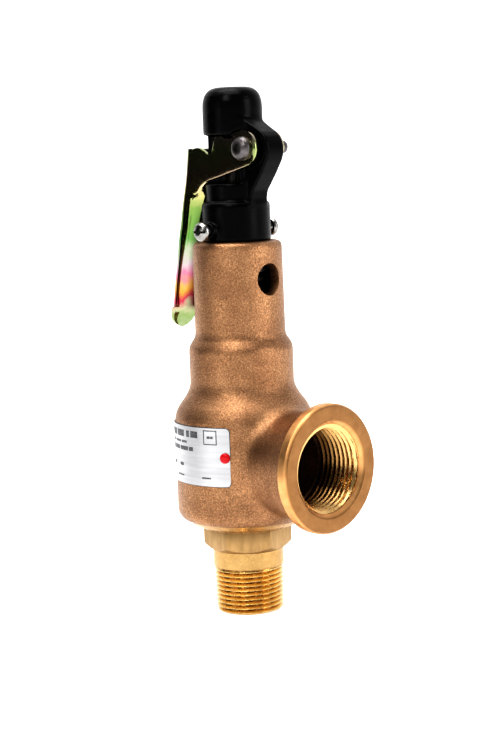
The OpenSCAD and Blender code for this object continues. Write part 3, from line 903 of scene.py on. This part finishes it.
def handle_section(point, inward, bent, width):
    """Middle-surface points across the web, from one side edge to the other."""
    steps = 6
    half_t = LEVER_T / 2
    r_mid = float(np.interp(point[1], BEND_Z, BEND_R)) - half_t
    sweep = math.pi / 2 * bent
    reach = r_mid * math.sin(sweep)
    half_flat = min(max(width - reach, 0.05), LEVER_HALF_W - half_t - reach)
    side = []
    for k in range(steps, 0, -1):
        a = sweep * k / steps
        side.append((half_flat + r_mid * math.sin(a), half_t + r_mid * (1 - math.cos(a))))
    across = side + [(half_flat * s, half_t) for s in (1, 0.5, 0, -0.5, -1)]
    across += [(-y, d) for y, d in reversed(side)]
    return [(point[0] + inward[0] * d, y, point[1] + inward[1] * d) for y, d in across]


def ear_outline(top, foot):
    """Flat side plate from its edge at the web's top round the pivot to its foot."""
    upper = [(-15.9, 180.2), (-15.2, 180.8), (-14.1, 181.25), (-12.4, 181.4), (-11.2, 181.1),
             (-9.9, 180.5), (-8.5, 179.6), (-6.6, 178.8), (-5.2, 179.2), (-4.0, 181.2),
             (-3.2, 183.6)]
    lower = [(6.2, 172.0), (-0.6, 170.3), (-6.3, 169.0), (-8.1, 168.45), (-10.3, 167.5),
             (-12.4, 166.2), (-14.2, 164.6), (-15.3, 163.5)]
    flange = [(-18.6, 161.0), (-19.5, 158.6), (-20.9, 152.0), (-23.2, 143.5), (-25.6, 134.0),
              (-27.4, 125.0)]
    return [
        top, *spline(upper, 0.6), *arc(0, 183.3, 2.7, 165, 32, 8),
        (4.0, 184.5), (6.2, 184.5), (7.4, 184.8), *arc(PIVOT_X, PIVOT_Z, EAR_R, 140, -76, 40),
        *spline(lower, 0.8), *arc(-16.6, 162.6, 0.6, 60, -140, 6), *spline(flange, 2.0), foot,
    ]


def lever_sheet():
    """Middle surface of the folded plate: the web's strips and one face for each ear."""
    rows = handle_rows()
    sections = [handle_section(*row) for row in rows]
    width = len(sections[0])
    verts = [p for section in sections for p in section]
    faces = []
    for i in range(len(sections) - 1):
        for j in range(width - 1):
            a = i * width + j
            faces.append((a, a + 1, a + width + 1, a + width))
    last = max(i for i, (_, _, bent, _) in enumerate(rows) if bent >= 1.0)
    for column in (0, width - 1):
        edge = [i * width + column for i in range(last + 1)]
        top, foot = verts[edge[0]], verts[edge[-1]]
        outline = ear_outline((top[0] + 0.8, top[2] + 0.2), (foot[0] + 0.7, foot[2] + 0.1))
        start = len(verts)
        verts += [(x, top[1], z) for x, z in outline]
        faces.append(edge[::-1] + list(range(start, len(verts))))
    return verts, faces


def lever(material):
    piece = mesh_piece("lever", *lever_sheet(), material, body=None)
    bm = bmesh.new()
    bm.from_mesh(piece.data)
    bmesh.ops.triangulate(bm, faces=[f for f in bm.faces if len(f.verts) > 4])
    bmesh.ops.recalc_face_normals(bm, faces=bm.faces)
    bm.to_mesh(piece.data)
    bm.free()
    thick = piece.modifiers.new("thick", "SOLIDIFY")
    thick.thickness = LEVER_T * MM
    thick.offset = 0
    thick.use_even_offset = True
    apply_modifiers(piece)
    bevel(piece, 0.22, 50)
    combine(piece, drill("cut_ear", 2.5, -12, 12, material, origin=PIVOT_POINT))
    settle(piece, "lever", ("lever",), "yellow_zinc")


# ---------------------------------------------------------------- fasteners

def pivot_screw(material):
    """Button-head screw with a hexagon socket, its head at the front."""
    piece = lathe("pivot_screw", [
        (0, -14.6), (1.9, -14.6, 0.2), (2.41, -14.1, 0.2), (2.41, 7.6, 0), (4.5, 7.6, 0.15),
        (4.5, 8.9, 0.4), (3.9, 10.1, 0.6), (2.7, 10.9, 0.4), (2.3, 11.0, 0.1), (0, 11.0),
    ], material, axis="-Y", origin=PIVOT_POINT, body=None)
    combine(piece, extruded("cut_socket", hexagon(3.2, 0.2), 9.2, 12.0, material, axis="-Y",
                            origin=PIVOT_POINT, body=None))
    settle(piece, "valve", ("pivot_screw",), "steel")


def pivot_nut(material):
    """Hexagon nut with rounded corners on the far end of the pivot."""
    piece = extruded("pivot_nut", hexagon(8.7, 0.35), 7.6, 10.2, material, axis="Y",
                     origin=PIVOT_POINT, body=None)
    cone = lathe("cut_nut", [
        (0, 7.4), (4.7, 7.4), (4.95, 8.0), (4.95, 9.7), (4.4, 10.3), (0, 10.3),
    ], material, axis="Y", origin=PIVOT_POINT, body=None, fillet=0)
    combine(piece, cone, "INTERSECT")
    combine(piece, drill("cut_hole", 2.43, 5, 14, material, origin=PIVOT_POINT))
    bevel(piece, 0.12, 25)
    settle(piece, "valve", ("pivot_nut",), "yellow_zinc")


def cap_screw(name, axis, material):
    """Slotted round-head screw through the cap's base, pointing inwards along an axis."""
    origin = (0, 0, CAP_SCREW_Z)
    piece = lathe(name, [
        (0, 9.7), (1.95, 9.7, 0.2), (1.95, 16.6, 0.3), (2.5, 17.3, 0.2), (3.3, 17.35, 0.3),
        (3.75, 18.2, 0.5), (3.6, 19.2, 0.7), (2.7, 20.2, 0.6), (1.4, 20.6, 0.5), (0, 20.6),
    ], material, axis=axis, origin=origin, body=None)
    combine(piece, extruded("cut_slit", [(-5, -0.45), (5, -0.45), (5, 0.45), (-5, 0.45)],
                            19.6, 22, material, axis=axis, origin=origin, body=None))
    settle(piece, "valve", ("cap_screws",), "chrome")


# ---------------------------------------------------------------- spring

def spring_rise(t, turns):
    """Height of the wire above its start after t turns: closed end turns, open middle ones."""
    closed = 3.05
    open_h = SPRING_H - 2 * WIRE_R - 2 * closed
    if t < 1:
        return closed * t
    if t > turns - 1:
        return closed + open_h + closed * (t - turns + 1)
    return closed + open_h * (t - 1) / (turns - 2)


def spring(material):
    """Coil of round wire with closed end turns and open middle ones."""
    turns, per_turn, sides = 8.5, 48, 16
    coil_r = 9.8
    verts, faces = [], []
    count = int(turns * per_turn)
    for i in range(count + 1):
        t = i / per_turn
        wire_z = SPRING_FOOT_Z + WIRE_R + spring_rise(t, turns)
        for j in range(sides):
            a = TAU * j / sides
            r = coil_r + WIRE_R * math.cos(a)
            verts.append((r * math.cos(TAU * t), r * math.sin(TAU * t),
                          wire_z + WIRE_R * math.sin(a)))
    for i in range(count):
        for j in range(sides):
            k = (j + 1) % sides
            faces.append((i * sides + j, i * sides + k, (i + 1) * sides + k, (i + 1) * sides + j))
    faces.append(tuple(range(sides)))
    faces.append(tuple(count * sides + j for j in range(sides)))
    piece = mesh_piece("spring", verts, faces, material, replaces=("spring",), slot="steel")
    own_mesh(piece)


# ---------------------------------------------------------------- nameplate

PLATE = dict(r=27.02, t=0.3, z0=53.6, z1=76.0, a0=-173.0, a1=-56.0, corner=1.7)
PLATE_COLUMN_W = 0.9
CORNER_STEPS = 6
# RIM_W and RIM_T size the painted shadow round the plate.
RIM_W = 0.22
RIM_T = 0.12
INK_T = 0.03

# An empty box with a bar in it: each mark's ends along the plate, and its edges in height
EMBLEM_MARKS = (
    ("top", 5.0, 10.8, 74.8, 75.2), ("foot", 5.0, 10.8, 69.6, 70.0),
    ("right", 5.0, 5.4, 70.0, 74.8), ("left", 10.4, 10.8, 70.0, 74.8),
    ("bar", 6.6, 9.2, 72.0, 72.9),
)
# Rows of plain bars that stand for the print: low and high edge, then each bar's ends
PLATE_BARS = (
    (71.9, 74.4, ((13.6, 17.4), (18.2, 20.0), (21.6, 27.0), (28.0, 34.0), (35.0, 41.0))),
    (69.5, 70.4, ((19.8, 23.4), (24.2, 29.0), (30.0, 33.0))),
    (66.6, 68.2, ((16.2, 18.6), (19.2, 24.6), (25.4, 31.0), (32.0, 38.0))),
    (60.4, 61.6, ((22.6, 25.4), (30.0, 34.0), (38.0, 42.0))),
    (56.4, 57.0, ((8.0, 12.0), (22.6, 28.0), (32.0, 42.0))),
)


def plate_patch(name, a_mm, b_mm, z0, z1, lift, thick, corner, material):
    """Curved patch on the barrel. a_mm and b_mm are arc lengths from the plate's right end."""
    radius = PLATE["r"] + lift
    columns = [a_mm, b_mm]
    if corner > 0:
        ease = [corner * (1 - math.cos(math.pi / 2 * k / CORNER_STEPS))
                for k in range(1, CORNER_STEPS + 1)]
        columns += [a_mm + e for e in ease] + [b_mm - e for e in ease]
    count = max(2, int((b_mm - a_mm) / PLATE_COLUMN_W))
    columns += list(np.linspace(a_mm + corner, b_mm - corner, count))
    columns = sorted(set(round(c, 5) for c in columns))
    verts, faces = [], []
    for c in columns:
        gap = min(c - a_mm, b_mm - c)
        cut = corner - math.sqrt(max(corner ** 2 - (corner - gap) ** 2, 0)) if gap < corner else 0
        angle = math.radians(PLATE["a1"]) - c / PLATE["r"]
        for r in (radius, radius + thick):
            for z in (z0 + cut, z1 - cut):
                verts.append((r * math.cos(angle), r * math.sin(angle), z))
    for i in range(len(columns) - 1):
        a, b = 4 * i, 4 * (i + 1)
        for p, q in ((0, 1), (1, 3), (3, 2), (2, 0)):
            faces.append((a + p, a + q, b + q, b + p))
    faces.append((0, 1, 3, 2))
    end = 4 * (len(columns) - 1)
    faces.append((end, end + 1, end + 3, end + 2))
    return mesh_piece(name, verts, faces, material, replaces=("nameplate",), slot="plate_steel")


def nameplate(plate_material, ink_and_shadow_material):
    """Blank plate with a painted shadow as a dark rim line round it, and generic marks: an empty
    box and plain bars.
    """
    z0, z1, corner = PLATE["z0"], PLATE["z1"], PLATE["corner"]
    length = math.radians(PLATE["a1"] - PLATE["a0"]) * PLATE["r"]
    plate_patch("nameplate", 0, length, z0, z1, 0, PLATE["t"], corner, plate_material)
    # The dark rim round the plate is a painted shadow.
    plate_patch("nameplate_shadow_rim", -RIM_W, length + RIM_W, z0 - RIM_W, z1 + RIM_W, 0, RIM_T,
                corner + RIM_W, ink_and_shadow_material)
    marks = [("emblem_" + side, *edges) for side, *edges in EMBLEM_MARKS]
    for row, (low, high, bars) in enumerate(PLATE_BARS, 1):
        marks += [(f"bar_{row}_{i}", *ends, low, high) for i, ends in enumerate(bars, 1)]
    for name, *edges in marks:
        plate_patch(name, *edges, PLATE["t"], INK_T, 0, ink_and_shadow_material)


def rivet(name, angle_deg, material):
    """Rivet through the plate into the barrel, at an angle round the valve's axis."""
    piece = lathe(name, [
        (0, 24.8), (1.2, 24.8), (1.2, 27.3), (2.0, 27.4, 0.1), (2.0, 27.65, 0.15),
        (1.65, 28.1, 0.5), (0.9, 28.36, 0.5), (0, 28.38),
    ], material, axis="X", steps=48, body=None)
    piece.data.transform(Matrix.Rotation(math.radians(angle_deg), 4, "Z")
                         @ Matrix.Translation((0, 0, RIVET_Z * MM)))
    settle(piece, "valve", ("nameplate_rivets",), "red_paint")


# ---------------------------------------------------------------- stage

LIGHT_TARGET = (0.0, 0.0, 0.10)
FLOOR_HALF = 12.0


def area_light(name, location, size, power, color=(1, 1, 1)):
    """Rectangular light that faces the middle of the valve."""
    light = bpy.data.lights.new(name, "AREA")
    light.shape = "RECTANGLE"
    light.size, light.size_y = size
    light.energy = power
    light.color = color
    obj = bpy.data.objects.new(name, light)
    obj.location = location
    direction = Vector(LIGHT_TARGET) - Vector(location)
    obj.rotation_euler = direction.to_track_quat("-Z", "Y").to_euler()
    bpy.context.scene.collection.objects.link(obj)


def stage_piece(name, corners, material):
    """Flat four-cornered surface that isn't part of the valve."""
    mesh = bpy.data.meshes.new(name)
    mesh.from_pydata(corners, [], [(0, 1, 2, 3)])
    obj = bpy.data.objects.new(name, mesh)
    obj.data.materials.append(material)
    bpy.context.scene.collection.objects.link(obj)


def white_floor():
    """Pale floor that glows more with distance, so that it ends as white as the world."""
    mat, tree, shader = new_material("floor_white", 0.0, 0.6)
    vector = object_coords(tree)
    color_by(tree, shader, noise(tree, vector, 400, 2), [
        (0.3, (0.85, 0.85, 0.85)), (0.7, (0.88, 0.88, 0.88)),
    ])
    tree.links.new(value_range(tree, vector_length(tree, vector), 0.42, 0.80, 0.05, 1.4),
                   shader.inputs["Emission Strength"])
    shader.inputs["Emission Color"].default_value = (1, 1, 1, 1)
    h = FLOOR_HALF
    stage_piece("floor", [(-h, -h, 0), (h, -h, 0), (h, h, 0), (-h, h, 0)], mat)


def stage():
    white_floor()
    light_world()
    dark_card()
    area_light("overhead", (-0.05, -0.10, 1.10), (0.9, 0.7), 11.0)
    area_light("key", (0.35, -1.0, 0.95), (0.30, 0.45), 5.0, (1.0, 0.97, 0.93))
    area_light("side", (1.15, 0.35, 0.45), (0.45, 0.7), 5.0)
    area_light("fill", (-0.17, -0.98, 0.20), (0.22, 0.40), 0.45)
    view = bpy.context.scene.view_settings
    view.view_transform = "Standard"
    view.look = "High Contrast"


def light_world():
    """White behind the valve as the camera sees it, and dim in front of it."""
    world = bpy.data.worlds.new("studio")
    bpy.context.scene.world = world
    world.use_nodes = True
    tree = world.node_tree
    coords = tree.nodes.new("ShaderNodeTexCoord")
    facing = tree.nodes.new("ShaderNodeVectorMath")
    facing.operation = "DOT_PRODUCT"
    facing.inputs[1].default_value = (-math.sin(VIEW_AZIMUTH), math.cos(VIEW_AZIMUTH), 0)
    tree.links.new(coords.outputs["Generated"], facing.inputs[0])
    glow = value_range(tree, facing.outputs["Value"], 0.15, 1.05, -0.45, 0.60)
    background = tree.nodes["Background"]
    background.inputs["Color"].default_value = (1, 1, 1, 1)
    tree.links.new(glow, background.inputs["Strength"])


def dark_card():
    """Black card at the camera's left, which the lever's flat side mirrors."""
    mat, tree, shader = new_material("card_black", 0.0, 0.9)
    color_by(tree, shader, noise(tree, object_coords(tree), 300, 2), [
        (0.3, (0.0015, 0.0015, 0.0015)), (0.7, (0.0025, 0.0025, 0.0025)),
    ])
    turn = math.radians(CARD_DIRECTION)
    centre = Vector((math.cos(turn), math.sin(turn), 0)) * CARD_DISTANCE
    side = Vector((-math.sin(turn), math.cos(turn), 0)) * CARD_HALF_W
    top = Vector((0, 0, CARD_H))
    stage_piece("dark_card", [centre - side, centre + side, centre + side + top,
                              centre - side + top], mat)


def camera():
    """Camera a little above the valve, looking slightly down and slightly rolled."""
    data = bpy.data.cameras.new("camera")
    data.sensor_width = SENSOR_MM
    data.lens = FOCAL_MM
    data.shift_x = CAMERA_SHIFT
    data.clip_start = 0.01
    obj = bpy.data.objects.new("camera", data)
    obj.matrix_world = (
        Matrix.Rotation(VIEW_AZIMUTH, 4, "Z")
        @ Matrix.Translation((0, -CAMERA_DISTANCE, CAMERA_H))
        @ Matrix.Rotation(math.pi / 2 - CAMERA_PITCH, 4, "X")
        @ Matrix.Rotation(-CAMERA_ROLL, 4, "Z")
    )
    bpy.context.scene.collection.objects.link(obj)
    bpy.context.scene.camera = obj


def finish_cad_nodes(brass, grey, dark):
    """Materials for the pieces that keep their CAD shape."""
    looks = (
        (brass, ("adjusting_ring", "disc", "guide_plate", "compression_screw")),
        (grey, ("ring_set_screw", "disc_retaining_ring", "lower_spring_washer",
                "upper_spring_washer", "lock_nut")),
        # These parts take the dark steel as painted shade inside the cap.
        (dark, ("stem", "release_nut", "release_lock_nut", "pivot_bush")),
    )
    for material, nodes in looks:
        for node in nodes:
            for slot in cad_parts[node].material_slots:
                slot.material = material


def main():
    camera()
    stage()
    turned_bronze = base_bronze()
    zinc = yellow_chromate()
    bright = worn_metal("bright_plate", (0.30, 0.29, 0.28), 0.18)
    dull_steel = worn_metal("dull_steel", (0.20, 0.19, 0.19), 0.38)
    # Dark steel: its dark colour is painted shade for the spring and the small parts inside the
    # body and cap.
    dark_steel = worn_metal("dark_steel", (0.035, 0.032, 0.031), 0.36)
    red = red_lacquer()
    body_casting(cast_bronze())
    outlet_ring(ring_bronze())
    outlet_thread(bore_bronze())
    base_ring(turned_bronze)
    spigot(turned_bronze)
    inlet_thread(thread_brass())
    nozzle(pitted_brass())
    nozzle_hexagon(worn_metal("hex_brass", (0.40, 0.26, 0.12), 0.42, (1, 1, 0.3), 0.82))
    cap(black_paint())
    lever(zinc)
    pivot_screw(worn_metal("screw_steel", (0.13, 0.12, 0.12), 0.36))
    pivot_nut(zinc)
    cap_screw("cap_screw_front", "-Y", bright)
    cap_screw("cap_screw_back", "Y", bright)
    spring(dark_steel)
    nameplate(worn_metal("sheet_steel", (0.46, 0.46, 0.47), 0.32, (0.08, 0.08, 1.6), 0.90),
              plate_ink_and_shadow())
    rivet("rivet_front", -60.0, red)
    rivet("rivet_back", -168.5, red)
    finish_cad_nodes(turned_bronze, dull_steel, dark_steel)


main()
